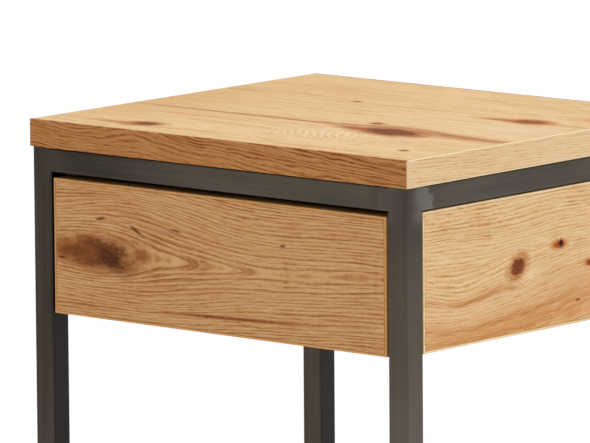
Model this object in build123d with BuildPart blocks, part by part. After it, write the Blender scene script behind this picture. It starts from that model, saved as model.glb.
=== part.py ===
"""Side table with one drawer: a welded square-tube steel frame, oak-veneered boards, a drawer on ball slides.

Millimetres, +Z up. The origin is on the floor, under the middle of the table. The drawer opens towards -Y.
"""

import os

from build123d import *

os.makedirs("parts", exist_ok=True)

# ---------------------------------------------------------------- driving dimensions

# table top
table_height = 550.0
top_width = 500.0
top_depth = 450.0
top_thickness = 28.0
top_overhang = 2.0  # the top stands this far proud of the frame, all round

# welded frame of square steel tube
tube = 25.0
tube_wall = 1.5
tube_radius = 2.5  # outer corner radius of the tube
weld_reach = 2.3  # how far a rail's outer wall, with its ground weld, runs on over a leg's rounded corner
plate = 3.0  # flat steel of the corner plates and the hanger tabs
corner_plate_side = 60.0
corner_screw_inset = 18.0  # from the inner faces of both rails
tab_width = 20.0
tab_height = 48.0
tab_lap = 18.0  # how far a tab laps up the inside of its rail
side_tab_spread = 240.0  # between the two tabs on a side rail
back_tab_spread = 260.0  # between the two tabs on the back rail

# foot glides
glide_height = 5.0  # the flange under the tube
glide_plug = 18.0  # the plug inside the tube
glide_fit = 0.2  # clearance of the plug in the tube
glide_chamfer = 1.0

# boards and their edging
band = 3.0  # edging thickness
arris = 0.8  # rounding of the edging's outer edges
panel_board = 24.0  # side, back and drawer-front board
floor_board = 16.0  # dust floor under the drawer
panel_height = 141.0
panel_side_gap = 1.0  # between a panel and the legs beside it
panel_top_gap = 1.5  # between a panel and the rail above it
front_side_gap = 2.5  # between the drawer front and each leg
front_top_gap = 5.5  # between the drawer front and the front rail
front_drop = 2.5  # how far the drawer front hangs below the panels
grip_depth = 25.0  # finger space between the drawer front and the dust floor

# drawer box
drawer_board = 12.0
drawer_lift = 6.5  # clearance over the dust floor
drawer_headroom = 19.0  # between the drawer box and the underside of the rails
drawer_rear_room = 46.0  # between the drawer box and the back panel
drawer_floor = 5.0
groove_depth = 6.0
groove_height = 8.0  # from a side's lower edge to the groove
groove_play = 0.1  # clearance of the drawer floor, on each face
floor_play = 0.5  # clearance of the drawer floor at the groove's bottom

# ball slides
slide_height = 45.0
slide_thickness = 12.7
slide_setback = 2.0  # behind the drawer front
sheet = 1.2  # steel of the three members
head_room = 2.4  # space for screw heads between the first two members
middle_tip_gap = 0.5  # between the middle member's flange tips and the drawer member's web
lip = 2.0  # retaining lip of the cabinet member
ball = 3.6
ball_play = 0.1
cage_sheet = 0.5
cage_play = 0.3  # between a cage and the web of the member inside it
cage_edge = 0.25  # strip of cage left beyond a ball
ball_rows = 5
ball_pitch = 26.0

# fasteners
dowel_radius = 4.0
dowel_length = 30.0
dowel_in_face = 13.0  # how deep a carcass dowel sits in the face of a panel
dowel_end_inset = 60.0
small_dowel_radius = 3.0
small_dowel_length = 22.0
small_dowel_in_face = 8.0
small_dowel_inset = 25.0  # from a drawer side's upper edge, and from its floor groove
dowel_play = 0.1
hole_play = 0.2  # a screw's hole is this much wider in radius than its shank
pan_head = 2.4
low_head = 1.4
recess_depth = 1.0
recess_share = 0.25  # width of a head's cross recess, as a share of the head's radius
crown_share = 0.8  # a head's upper radius, as a share of its lower one
tip_share = 0.125  # a screw tip's radius, as a share of its shank's
bevel_share = 0.25  # a dowel's end bevel, as a share of its radius
frame_screw = {"shank": 1.9, "head": 3.8, "length": 18.0, "head_height": pan_head}
front_screw = {"shank": 1.9, "head": 3.8, "length": 28.0, "head_height": pan_head}
cabinet_screw = {"shank": 1.7, "head": 3.2, "length": 14.0, "head_height": low_head}
drawer_screw = {"shank": 1.7, "head": 3.2, "length": 9.5, "head_height": low_head}
front_screw_spread_x = 240.0
front_screw_spread_z = 50.0
slide_hole_inset = 35.0  # from a slide's end to its first and last screw
slot_length = 9.0  # the adjusting slots in the cabinet members
slot_offset = 24.0  # from a screw to the slot beside it

# ---------------------------------------------------------------- places that follow

half_width = top_width / 2
half_depth = top_depth / 2
frame_x = half_width - top_overhang  # outer faces of the frame
frame_y = half_depth - top_overhang
inner_x = frame_x - tube  # inner faces of the frame
inner_y = frame_y - tube
top_under = table_height - top_thickness
rail_under = top_under - tube
leg_x = frame_x - tube / 2
leg_y = frame_y - tube / 2
leg_centres = [(leg_x, leg_y), (-leg_x, leg_y), (leg_x, -leg_y), (-leg_x, -leg_y)]

panel_top = rail_under - panel_top_gap
panel_bottom = panel_top - panel_height
front_top = rail_under - front_top_gap
front_bottom = panel_bottom - front_drop
dust_floor_top = panel_bottom + floor_board

drawer_bottom = dust_floor_top + drawer_lift
drawer_top = rail_under - drawer_headroom
drawer_x = inner_x - slide_thickness  # outer face of a drawer side
drawer_in_x = drawer_x - drawer_board
drawer_y0 = -inner_y  # the boards lie flush with the inside of the tubes
drawer_y1 = inner_y - drawer_rear_room
inner_front_y = drawer_y0 + drawer_board
drawer_back_y = drawer_y1 - drawer_board
groove_low = drawer_bottom + groove_height
groove_high = groove_low + drawer_floor + 2 * groove_play

slide_z = (drawer_bottom + drawer_top) / 2
slide_y0 = -inner_y + slide_setback
slide_length = drawer_y1 - drawer_y0  # as long as the drawer box: 350 mm slides
slide_y1 = slide_y0 + slide_length
slide_screw_ys = [
    slide_y0 + slide_hole_inset,
    (slide_y0 + slide_y1) / 2,
    slide_y1 - slide_hole_inset,
]

cage_length = ball_rows * ball_pitch
cage_start = (slide_length - cage_length) / 2  # from the slide's front end, with the drawer shut

tab_top = rail_under + tab_lap
tab_bottom = tab_top - tab_height
tab_screw_z = (tab_bottom + panel_top) / 2

SIDES = {"left": -1, "right": 1}
TOUCH = 1e-4


# ---------------------------------------------------------------- helpers


def keep(part, name):
    """Labels a finished piece and writes its STEP file."""
    part.label = name
    export_step(part, f"parts/{name}.step")


def slab(low, high, mode=Mode.ADD):
    """A square-edged block between two corners, in the part being built."""
    size = [h - l for l, h in zip(low, high)]
    centre = [(l + h) / 2 for l, h in zip(low, high)]
    with Locations(Location(centre)):
        Box(*size, mode=mode)


def bore(point, direction, radius, depth):
    """A blind round hole in the part being built, from a point on its face, inwards along direction."""
    with Locations(Plane(origin=point, z_dir=direction)):
        Cylinder(radius, depth, align=(Align.CENTER, Align.CENTER, Align.MIN), mode=Mode.SUBTRACT)


def pegs(places, radius, length, back):
    """Round dowels with bevelled ends. A place is a point and a direction; back is how far behind they start."""
    with BuildPart() as group:
        for point, direction in places:
            with Locations(Plane(origin=point, z_dir=direction).offset(-back)):
                Cylinder(radius, length, align=(Align.CENTER, Align.CENTER, Align.MIN))
        chamfer(group.edges().filter_by(GeomType.CIRCLE), length=radius * bevel_share)
    return group.part


def screws(places, shank, head, length, head_height):
    """Pan-head screws with a cross recess. A place is the point under the head and the way they point."""
    recess = head * recess_share
    with BuildPart() as group:
        for point, direction in places:
            seat = Plane(origin=point, z_dir=direction)
            with Locations(seat):
                Cylinder(shank, length - shank, align=(Align.CENTER, Align.CENTER, Align.MIN))
            with Locations(seat.offset(length - shank)):
                Cone(shank, shank * tip_share, shank, align=(Align.CENTER, Align.CENTER, Align.MIN))
            with Locations(seat.offset(-head_height)):
                Cone(head * crown_share, head, head_height, align=(Align.CENTER, Align.CENTER, Align.MIN))
            with Locations(seat.offset(-head_height)):
                Box(head, recess, 2 * recess_depth, mode=Mode.SUBTRACT)
                Box(recess, head, 2 * recess_depth, mode=Mode.SUBTRACT)
    return group.part


def outline_edges(part, low, high):
    """The edges of a strip that lie along the outline of the finished board."""

    def lies_outside(edge):
        centre = edge.center()
        at_limit = [
            min(abs(c - l), abs(c - h)) < TOUCH
            for c, l, h in zip((centre.X, centre.Y, centre.Z), low, high)
        ]
        return sum(at_limit) >= 2

    return part.edges().filter_by(lies_outside)


def inset(low, high, axis, amount):
    """The two corners of a board, drawn in by amount at both ends of one axis."""
    low, high = list(low), list(high)
    low[axis] += amount
    high[axis] -= amount
    return low, high


def strips(low, high, long_axis, short_axis):
    """Corners of a board's four edging strips. The strips on the long edges cover the ends of the others."""
    made = []
    for axis, (corner, other) in (
        (short_axis, (low, high)),
        (long_axis, inset(low, high, short_axis, band)),
    ):
        near, far = list(other), list(corner)
        near[axis] = low[axis] + band
        far[axis] = high[axis] - band
        made += [(corner, near), (far, other)]
    return made


def edging(low, high, long_axis, short_axis):
    """Edging strips as separate solids: two on the board's long edges, then two on its short ones."""
    bands = []
    for strip_low, strip_high in strips(low, high, long_axis, short_axis):
        with BuildPart() as strip:
            slab(strip_low, strip_high)
            fillet(outline_edges(strip, low, high), arris)
        bands.append(strip.part)
    return bands


# ---------------------------------------------------------------- frame: legs and rails

for side_name, side in SIDES.items():
    for end_name, end in {"front": -1, "back": 1}.items():
        with BuildPart() as leg:
            with BuildSketch(Plane.XY.offset(glide_height)):
                with Locations((side * leg_x, end * leg_y)):
                    RectangleRounded(tube, tube, tube_radius)
                    RectangleRounded(
                        tube - 2 * tube_wall,
                        tube - 2 * tube_wall,
                        tube_radius - tube_wall,
                        mode=Mode.SUBTRACT,
                    )
            extrude(amount=top_under - glide_height)
        keep(leg.part, f"leg_{end_name}_{side_name}")

        plug = tube - 2 * (tube_wall + glide_fit)
        with BuildPart() as glide:
            with BuildSketch(Plane.XY):
                with Locations((side * leg_x, end * leg_y)):
                    RectangleRounded(tube, tube, tube_radius)
            extrude(amount=glide_height)
            chamfer(glide.faces().sort_by(Axis.Z)[0].edges(), length=glide_chamfer)
            with BuildSketch(Plane.XY.offset(glide_height)):
                with Locations((side * leg_x, end * leg_y)):
                    RectangleRounded(plug, plug, tube_radius - tube_wall)
            extrude(amount=glide_plug)
        keep(glide.part, f"foot_glide_{end_name}_{side_name}")


def rail(middle, along, outward, length):
    """A tube welded between two legs. Its outer wall runs on round their corners, with the weld ground flush."""
    line = Plane(origin=middle, z_dir=along, x_dir=outward)
    with BuildPart() as tube_rail:
        with BuildSketch(line.offset(-length / 2)):
            RectangleRounded(tube, tube, tube_radius)
            RectangleRounded(
                tube - 2 * tube_wall,
                tube - 2 * tube_wall,
                tube_radius - tube_wall,
                mode=Mode.SUBTRACT,
            )
        extrude(amount=length)
        with BuildSketch(line.offset(-length / 2 - weld_reach)):
            RectangleRounded(tube, tube, tube_radius)
            with Locations(((tube - tube_wall) / 2, 0)):
                Rectangle(tube_wall, tube, mode=Mode.INTERSECT)
        extrude(amount=length + 2 * weld_reach)
        with BuildSketch(Plane.XY.offset(rail_under)):
            with Locations(*leg_centres):
                RectangleRounded(tube, tube, tube_radius)
        extrude(amount=tube, mode=Mode.SUBTRACT)
    return tube_rail.part


rail_z = rail_under + tube / 2
keep(rail((0, -leg_y, rail_z), (1, 0, 0), (0, -1, 0), 2 * inner_x), "rail_front")
keep(rail((0, leg_y, rail_z), (1, 0, 0), (0, 1, 0), 2 * inner_x), "rail_back")
keep(rail((-leg_x, 0, rail_z), (0, 1, 0), (-1, 0, 0), 2 * inner_y), "rail_left")
keep(rail((leg_x, 0, rail_z), (0, 1, 0), (1, 0, 0), 2 * inner_y), "rail_right")

# Corner plates carry the top, flush with the upper faces of the rails.
corner_screws = [
    ((sx * (inner_x - corner_screw_inset), sy * (inner_y - corner_screw_inset), top_under - plate), (0, 0, 1))
    for sx in (-1, 1)
    for sy in (-1, 1)
]
with BuildPart() as corner_plates:
    for sx in (-1, 1):
        for sy in (-1, 1):
            corner = (sx * inner_x, sy * inner_y)
            with BuildSketch(Plane.XY.offset(top_under - plate)):
                with BuildLine():
                    Polyline(
                        corner,
                        (corner[0] - sx * corner_plate_side, corner[1]),
                        (corner[0], corner[1] - sy * corner_plate_side),
                        close=True,
                    )
                make_face()
            extrude(amount=plate)
    for point, direction in corner_screws:
        bore(point, direction, frame_screw["shank"] + hole_play, plate)
keep(corner_plates.part, "corner_plates")

# Hanger tabs are welded to the inside of the rails and lap down over the panels.
side_tab_ys = [-side_tab_spread / 2, side_tab_spread / 2]
back_tab_xs = [-back_tab_spread / 2, back_tab_spread / 2]
hanger_screws = [
    ((side * (inner_x - plate), y, tab_screw_z), (side, 0, 0)) for side in (-1, 1) for y in side_tab_ys
] + [((x, inner_y - plate, tab_screw_z), (0, 1, 0)) for x in back_tab_xs]

with BuildPart() as hanger_tabs:
    for side in (-1, 1):
        for y in side_tab_ys:
            with Locations((side * (inner_x - plate / 2), y, (tab_top + tab_bottom) / 2)):
                Box(plate, tab_width, tab_height)
    for x in back_tab_xs:
        with Locations((x, inner_y - plate / 2, (tab_top + tab_bottom) / 2)):
            Box(tab_width, plate, tab_height)
    for point, direction in hanger_screws:
        bore(point, direction, frame_screw["shank"] + hole_play, plate)
keep(hanger_tabs.part, "hanger_tabs")

# ---------------------------------------------------------------- table top

top_low = (-half_width, -half_depth, top_under)
top_high = (half_width, half_depth, table_height)
core_low, core_high = inset(*inset(top_low, top_high, 0, band), 1, band)
with BuildPart() as top_board:
    slab(core_low, core_high)
    for (x, y, _), direction in corner_screws:
        bore(
            (x, y, top_under),
            direction,
            frame_screw["shank"] + hole_play,
            frame_screw["length"] - plate + hole_play,
        )
keep(top_board.part, "top_board")

for place, strip in zip(("front", "back", "left", "right"), edging(top_low, top_high, 0, 1)):
    keep(strip, f"top_edging_{place}")

keep(screws(corner_screws, **frame_screw), "top_screws")

# ---------------------------------------------------------------- carcass panels under the frame

floor_front = -inner_y + grip_depth
dowel_z = panel_bottom + floor_board / 2
side_dowel_ys = [floor_front + dowel_end_inset, (floor_front + inner_y) / 2, inner_y - dowel_end_inset]
back_dowel_xs = [-inner_x + dowel_end_inset, 0, inner_x - dowel_end_inset]
side_dowels = {
    name: [((side * inner_x, y, dowel_z), (side, 0, 0)) for y in side_dowel_ys]
    for name, side in SIDES.items()
}
back_dowels = [((x, inner_y, dowel_z), (0, 1, 0)) for x in back_dowel_xs]
cabinet_screws = {
    name: [((side * (inner_x - sheet), y, slide_z), (side, 0, 0)) for y in slide_screw_ys]
    for name, side in SIDES.items()
}

for side_name, side in SIDES.items():
    inside, outside = side * inner_x, side * (inner_x + panel_board)
    panel_low = (min(inside, outside), -inner_y + panel_side_gap, panel_bottom)
    panel_high = (max(inside, outside), inner_y - panel_side_gap, panel_top)
    core_low, core_high = inset(*inset(panel_low, panel_high, 1, band), 2, band)
    with BuildPart() as side_panel:
        slab(core_low, core_high)
        for point, direction in side_dowels[side_name]:
            bore(point, direction, dowel_radius + dowel_play, dowel_in_face + dowel_play)
        for (_, y, z), direction in [s for s in hanger_screws if s[1][0] == side]:
            bore(
                (inside, y, z),
                direction,
                frame_screw["shank"] + hole_play,
                frame_screw["length"] - plate + hole_play,
            )
        for (_, y, z), direction in cabinet_screws[side_name]:
            bore(
                (inside, y, z),
                direction,
                cabinet_screw["shank"] + hole_play,
                cabinet_screw["length"] - sheet + hole_play,
            )
    keep(side_panel.part, f"side_panel_{side_name}")
    keep(Compound(children=edging(panel_low, panel_high, 1, 2)), f"side_panel_edging_{side_name}")

back_low = (-inner_x + panel_side_gap, inner_y, panel_bottom)
back_high = (inner_x - panel_side_gap, inner_y + panel_board, panel_top)
core_low, core_high = inset(*inset(back_low, back_high, 0, band), 2, band)
with BuildPart() as back_panel:
    slab(core_low, core_high)
    for point, direction in back_dowels:
        bore(point, direction, dowel_radius + dowel_play, dowel_in_face + dowel_play)
    for (x, _, z), direction in [s for s in hanger_screws if s[1][1] == 1]:
        bore(
            (x, inner_y, z),
            direction,
            frame_screw["shank"] + hole_play,
            frame_screw["length"] - plate + hole_play,
        )
keep(back_panel.part, "back_panel")
keep(Compound(children=edging(back_low, back_high, 0, 2)), "back_panel_edging")

floor_low = (-inner_x, floor_front, panel_bottom)
floor_high = (inner_x, inner_y, dust_floor_top)
with BuildPart() as dust_floor:
    slab((-inner_x, floor_front + band, panel_bottom), floor_high)
    for (x, y, z), (dx, dy, _) in side_dowels["left"] + side_dowels["right"] + back_dowels:
        bore(
            (x, y, z),
            (-dx, -dy, 0),
            dowel_radius + dowel_play,
            dowel_length - dowel_in_face + dowel_play,
        )
keep(dust_floor.part, "dust_floor")

with BuildPart() as dust_floor_edging:
    slab(floor_low, (inner_x, floor_front + band, dust_floor_top))
    front_face = dust_floor_edging.faces().sort_by(Axis.Y)[0]
    fillet(front_face.edges().filter_by(Axis.X), arris)
keep(dust_floor_edging.part, "dust_floor_edging")

keep(
    pegs(
        side_dowels["left"] + side_dowels["right"] + back_dowels,
        dowel_radius,
        dowel_length,
        dowel_length - dowel_in_face,
    ),
    "carcass_dowels",
)
keep(screws(hanger_screws, **frame_screw), "hanger_screws")

# ---------------------------------------------------------------- drawer

front_y = -(inner_y + panel_board)
front_low = (-inner_x + front_side_gap, front_y, front_bottom)
front_high = (inner_x - front_side_gap, -inner_y, front_top)
front_screws = [
    ((x, inner_front_y, slide_z + z), (0, -1, 0))
    for x in (-front_screw_spread_x / 2, front_screw_spread_x / 2)
    for z in (-front_screw_spread_z / 2, front_screw_spread_z / 2)
]
core_low, core_high = inset(*inset(front_low, front_high, 0, band), 2, band)
with BuildPart() as drawer_front:
    slab(core_low, core_high)
    for (x, _, z), direction in front_screws:
        bore(
            (x, -inner_y, z),
            direction,
            front_screw["shank"] + hole_play,
            front_screw["length"] - drawer_board + hole_play,
        )
keep(drawer_front.part, "drawer_front")
keep(Compound(children=edging(front_low, front_high, 0, 2)), "drawer_front_edging")
keep(screws(front_screws, **front_screw), "drawer_front_screws")

small_dowel_zs = [groove_high + small_dowel_inset, drawer_top - small_dowel_inset]
cross_board_middles = [(drawer_y0 + inner_front_y) / 2, (drawer_back_y + drawer_y1) / 2]
drawer_dowels = {
    name: [((side * drawer_in_x, y, z), (side, 0, 0)) for y in cross_board_middles for z in small_dowel_zs]
    for name, side in SIDES.items()
}
runner_screws = {
    name: [((side * (drawer_x + sheet), y, slide_z), (-side, 0, 0)) for y in slide_screw_ys]
    for name, side in SIDES.items()
}

for side_name, side in SIDES.items():
    inside, outside = side * drawer_in_x, side * drawer_x
    groove_bottom = side * (drawer_in_x + groove_depth)
    with BuildPart() as drawer_side:
        slab(
            (min(inside, outside), drawer_y0, drawer_bottom),
            (max(inside, outside), drawer_y1, drawer_top),
        )
        upper_edges = drawer_side.faces().sort_by(Axis.Z)[-1].edges().filter_by(Axis.Y)
        fillet(upper_edges, arris)
        slab(
            (min(inside, groove_bottom), inner_front_y - groove_depth, groove_low),
            (max(inside, groove_bottom), drawer_back_y + groove_depth, groove_high),
            mode=Mode.SUBTRACT,
        )
        for point, direction in drawer_dowels[side_name]:
            bore(point, direction, small_dowel_radius + dowel_play, small_dowel_in_face + dowel_play)
        for (_, y, z), direction in runner_screws[side_name]:
            bore(
                (outside, y, z),
                direction,
                drawer_screw["shank"] + hole_play,
                drawer_screw["length"] - sheet + hole_play,
            )
    keep(drawer_side.part, f"drawer_side_{side_name}")


def cross_board(y0, y1, groove_y):
    """The inner front or the back of the drawer box, between the sides, with a groove for the floor."""
    middle = (y0 + y1) / 2
    with BuildPart() as board:
        slab((-drawer_in_x, y0, drawer_bottom), (drawer_in_x, y1, drawer_top))
        fillet(board.faces().sort_by(Axis.Z)[-1].edges().filter_by(Axis.X), arris)
        slab(
            (-drawer_in_x, min(groove_y), groove_low),
            (drawer_in_x, max(groove_y), groove_high),
            mode=Mode.SUBTRACT,
        )
        for (x, y, z), (dx, _, _) in drawer_dowels["left"] + drawer_dowels["right"]:
            if y == middle:
                bore(
                    (x, y, z),
                    (-dx, 0, 0),
                    small_dowel_radius + dowel_play,
                    small_dowel_length - small_dowel_in_face + dowel_play,
                )
        if y0 == drawer_y0:
            for point, direction in front_screws:
                bore(point, direction, front_screw["shank"] + hole_play, drawer_board)
    return board.part


inner_front_groove = (inner_front_y - groove_depth, inner_front_y)
keep(cross_board(drawer_y0, inner_front_y, inner_front_groove), "drawer_inner_front")
keep(cross_board(drawer_back_y, drawer_y1, (drawer_back_y, drawer_back_y + groove_depth)), "drawer_back")

floor_reach = groove_depth - floor_play
with BuildPart() as drawer_floor_panel:
    slab(
        (-drawer_in_x - floor_reach, inner_front_y - floor_reach, groove_low + groove_play),
        (drawer_in_x + floor_reach, drawer_back_y + floor_reach, groove_high - groove_play),
    )
keep(drawer_floor_panel.part, "drawer_floor")

keep(
    pegs(
        drawer_dowels["left"] + drawer_dowels["right"],
        small_dowel_radius,
        small_dowel_length,
        small_dowel_length - small_dowel_in_face,
    ),
    "drawer_dowels",
)

# ---------------------------------------------------------------- ball slides
# Depths count from the inner face of the side panel towards the drawer, heights from the slide's middle.

cabinet_flange = slide_height / 2 - sheet  # underside of the cabinet member's flange
outer_ball_z = cabinet_flange - ball_play - ball / 2
middle_top = outer_ball_z - ball / 2 - ball_play
inner_ball_z = middle_top - sheet - ball_play - ball / 2
runner_top = inner_ball_z - ball / 2 - ball_play

middle_web = sheet + head_room  # the web's near face
middle_tip = slide_thickness - sheet - middle_tip_gap
outer_cage_web = middle_web - cage_play - cage_sheet
inner_cage_web = middle_web + sheet + cage_play
runner_tip = inner_cage_web + cage_sheet + cage_play
outer_ball_depth = (middle_web + sheet + middle_tip) / 2 - ball_play
inner_ball_depth = (runner_tip + middle_tip) / 2
cabinet_tip = outer_ball_depth + ball / 2 + 2 * cage_edge + ball_play + sheet


def across(side):
    """The plane of a slide's section, at its front end: depth, then height. The slide runs away from it."""
    return Plane(origin=(side * inner_x, slide_y0, slide_z), x_dir=(-side, 0, 0), z_dir=(0, side, 0))


def channel(side, web, tip, top, lip_height=0.0):
    """A folded channel along the slide: a web at one depth, flanges out to the tip, and lips if asked."""
    fold = sheet if tip > web else -sheet
    flange_z = top - sheet / 2
    lip_z = top - (sheet + lip_height) / 2
    with BuildPart() as member:
        with BuildSketch(across(side)):
            with Locations((web + fold / 2, 0)):
                Rectangle(sheet, 2 * top)
            with Locations(((web + tip) / 2, flange_z), ((web + tip) / 2, -flange_z)):
                Rectangle(abs(tip - web), sheet)
            if lip_height:
                with Locations((tip - fold / 2, lip_z), (tip - fold / 2, -lip_z)):
                    Rectangle(sheet, sheet + lip_height)
        extrude(amount=side * slide_length)
    return member.part


def ball_cage(side, web, tip, ball_depth, ball_z):
    """A sheet-steel cage that spaces two rows of balls, and its balls as separate solids."""
    rows = [slide_y0 + cage_start + ball_pitch * (i + 0.5) for i in range(ball_rows)]
    centres = [(side * (inner_x - ball_depth), y, slide_z + up * ball_z) for y in rows for up in (-1, 1)]
    front = across(side).offset(side * cage_start)
    with BuildPart() as cage:
        with BuildSketch(front):
            with Locations((web + cage_sheet / 2, 0)):
                Rectangle(cage_sheet, 2 * ball_z + cage_sheet)
            with Locations(((web + tip) / 2, ball_z), ((web + tip) / 2, -ball_z)):
                Rectangle(tip - web, cage_sheet)
        extrude(amount=side * cage_length)
        with Locations(*centres):
            Cylinder(ball / 2 + ball_play, 2 * cage_sheet, mode=Mode.SUBTRACT)
    with BuildPart() as balls:
        with Locations(*centres):
            Sphere(ball / 2)
    return cage.part, balls.part


for side_name, side in SIDES.items():
    folded_cabinet_member = channel(side, 0.0, cabinet_tip, slide_height / 2, lip)
    with BuildPart() as cabinet_member:
        add(folded_cabinet_member)
        for point, direction in cabinet_screws[side_name]:
            bore(point, direction, cabinet_screw["shank"] + hole_play, sheet)
        for y in slide_screw_ys:
            slot_y = y + (slot_offset if y < slide_screw_ys[-1] else -slot_offset)
            with BuildSketch(Plane(origin=(side * (inner_x - sheet), slot_y, slide_z), z_dir=(side, 0, 0))):
                SlotOverall(slot_length, 2 * (cabinet_screw["shank"] + hole_play), rotation=90)
            extrude(amount=sheet, mode=Mode.SUBTRACT)
    keep(cabinet_member.part, f"slide_cabinet_member_{side_name}")

    keep(channel(side, middle_web, middle_tip, middle_top), f"slide_middle_member_{side_name}")

    folded_drawer_member = channel(side, slide_thickness, runner_tip, runner_top)
    with BuildPart() as drawer_member:
        add(folded_drawer_member)
        for point, direction in runner_screws[side_name]:
            bore(point, direction, drawer_screw["shank"] + hole_play, sheet)
    keep(drawer_member.part, f"slide_drawer_member_{side_name}")

    outer_tip = outer_ball_depth + ball / 2 + ball_play + cage_edge
    outer_cage, outer_balls = ball_cage(side, outer_cage_web, outer_tip, outer_ball_depth, outer_ball_z)
    keep(outer_cage, f"slide_outer_cage_{side_name}")
    keep(outer_balls, f"slide_outer_balls_{side_name}")

    inner_tip = inner_ball_depth + ball / 2 + ball_play + cage_edge
    inner_cage, inner_balls = ball_cage(side, inner_cage_web, inner_tip, inner_ball_depth, inner_ball_z)
    keep(inner_cage, f"slide_inner_cage_{side_name}")
    keep(inner_balls, f"slide_inner_balls_{side_name}")

    keep(screws(cabinet_screws[side_name], **cabinet_screw), f"slide_cabinet_screws_{side_name}")
    keep(screws(runner_screws[side_name], **drawer_screw), f"slide_drawer_screws_{side_name}")
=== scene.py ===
"""Looks of the side table: knotty oak veneer, lacquered raw steel tube, and a birch drawer on ball slides.

The frame gives every size and place in metres. Patterns are laid out in millimetres on each board: u runs
along the grain and v across it. The growth lines are where "line" is equal, and they flow round the knots.
"""

import math
from typing import NamedTuple

import bpy
from mathutils import Matrix, Vector


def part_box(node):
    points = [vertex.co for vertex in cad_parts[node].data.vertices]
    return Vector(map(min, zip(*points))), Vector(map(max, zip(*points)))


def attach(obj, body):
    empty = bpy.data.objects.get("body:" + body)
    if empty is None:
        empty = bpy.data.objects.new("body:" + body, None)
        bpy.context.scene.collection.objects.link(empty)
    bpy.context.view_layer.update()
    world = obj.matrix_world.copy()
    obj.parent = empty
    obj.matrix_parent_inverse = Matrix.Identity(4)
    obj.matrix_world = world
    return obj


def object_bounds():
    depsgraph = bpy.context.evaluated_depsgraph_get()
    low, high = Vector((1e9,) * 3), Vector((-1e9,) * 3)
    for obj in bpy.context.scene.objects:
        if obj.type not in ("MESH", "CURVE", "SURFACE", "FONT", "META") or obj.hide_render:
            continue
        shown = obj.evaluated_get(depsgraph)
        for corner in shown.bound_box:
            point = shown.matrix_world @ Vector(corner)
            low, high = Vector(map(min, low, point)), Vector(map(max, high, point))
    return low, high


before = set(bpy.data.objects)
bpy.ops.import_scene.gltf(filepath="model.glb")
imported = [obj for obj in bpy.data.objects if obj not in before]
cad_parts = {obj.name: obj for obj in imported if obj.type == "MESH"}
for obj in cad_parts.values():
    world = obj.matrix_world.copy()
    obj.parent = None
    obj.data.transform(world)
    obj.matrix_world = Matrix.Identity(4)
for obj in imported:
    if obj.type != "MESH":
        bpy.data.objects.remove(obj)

CAD_BOX = [list(corner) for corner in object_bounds()]
MM = 0.001

MATH = "ShaderNodeMath"
VECTOR = "ShaderNodeVectorMath"
NOISE = "ShaderNodeTexNoise"
MIX = "ShaderNodeMix"
RANGE = "ShaderNodeMapRange"
RAMP = "ShaderNodeValToRGB"
BUMP = "ShaderNodeBump"
SPLIT = "ShaderNodeSeparateXYZ"
JOIN = "ShaderNodeCombineXYZ"
GROUP = "ShaderNodeGroup"
SMOOTH = {"interpolation_type": "SMOOTHSTEP"}
FALLING = {"To Min": 1.0, "To Max": 0.0}
NOISE_SPAN = {"From Min": 0.3, "From Max": 0.7}  # noise hardly ever goes past these


# ---- small tools


def colour(code):
    """A hex sRGB colour as linear RGBA."""
    channels = [int(code[i : i + 2], 16) / 255 for i in (1, 3, 5)]
    linear = [c / 12.92 if c <= 0.04045 else ((c + 0.055) / 1.055) ** 2.4 for c in channels]
    return (*linear, 1.0)


def socket(sockets, key):
    """A socket by its place, or the one in use by its name."""
    if isinstance(key, int):
        return sockets[key]
    return next(s for s in sockets if s.name == key and s.enabled)


def fill(tree, node, inputs):
    """Gives sockets their values: plain values, other sockets, or nodes, which stand for their result."""
    for key, value in inputs.items():
        if isinstance(value, bpy.types.Node):
            value = next(s for s in value.outputs if s.enabled)
        if isinstance(value, bpy.types.NodeSocket):
            tree.links.new(value, socket(node.inputs, key))
        else:
            socket(node.inputs, key).default_value = value


def add(tree, kind, inputs=None, **settings):
    """Adds a node with its settings, and fills its sockets."""
    node = tree.nodes.new(kind)
    for name, value in settings.items():
        setattr(node, name, value)
    fill(tree, node, inputs or {})
    return node


def span(edge):
    """The range of values that a Map Range node takes in."""
    return {"From Min": edge[0], "From Max": edge[1]}


def set_stops(ramp, *stops):
    """Gives a colour ramp its stops, each a position and a hex colour."""
    elements = ramp.color_ramp.elements
    for _ in stops[2:]:
        elements.new(0.5)
    for element, (position, code) in zip(elements, stops):
        element.position = position
        element.color = colour(code)


def new_group(name, inputs, outputs):
    """An empty shader group and its input node. Inputs and outputs map a socket's name to its kind."""
    tree = bpy.data.node_groups.new(name, "ShaderNodeTree")
    for way, sockets in (("INPUT", inputs), ("OUTPUT", outputs)):
        for label, kind in sockets.items():
            tree.interface.new_socket(label, in_out=way, socket_type=f"NodeSocket{kind}")
    return tree, add(tree, "NodeGroupInput").outputs


def new_material(name):
    """A material with its surface shader linked to its output."""
    material = bpy.data.materials.new(name)
    material.use_nodes = True
    tree = material.node_tree
    tree.nodes.clear()
    surface = add(tree, "ShaderNodeBsdfPrincipled")
    add(tree, "ShaderNodeOutputMaterial", {"Surface": surface})
    return material, tree, surface


def new_object(name, data):
    """An object in the scene."""
    thing = bpy.data.objects.new(name, data)
    bpy.context.scene.collection.objects.link(thing)
    return thing


def corners(name):
    """The lowest and highest corner of a CAD node, in metres."""
    return [Vector(corner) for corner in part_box(name)]


def dress(material, *nodes):
    """Gives CAD nodes a material."""
    for name in nodes:
        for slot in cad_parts[name].material_slots:
            slot.material = material


# ---- patterns


def place_in_mm(tree, origin=(0.0, 0.0, 0.0)):
    """Object coordinates in millimetres, counted from an origin that is given in metres."""
    point = add(tree, "ShaderNodeTexCoord").outputs["Object"]
    point = add(tree, VECTOR, {0: point, 1: origin}, operation="SUBTRACT")
    return add(tree, VECTOR, {0: point, "Scale": 1 / MM}, operation="SCALE")


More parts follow.
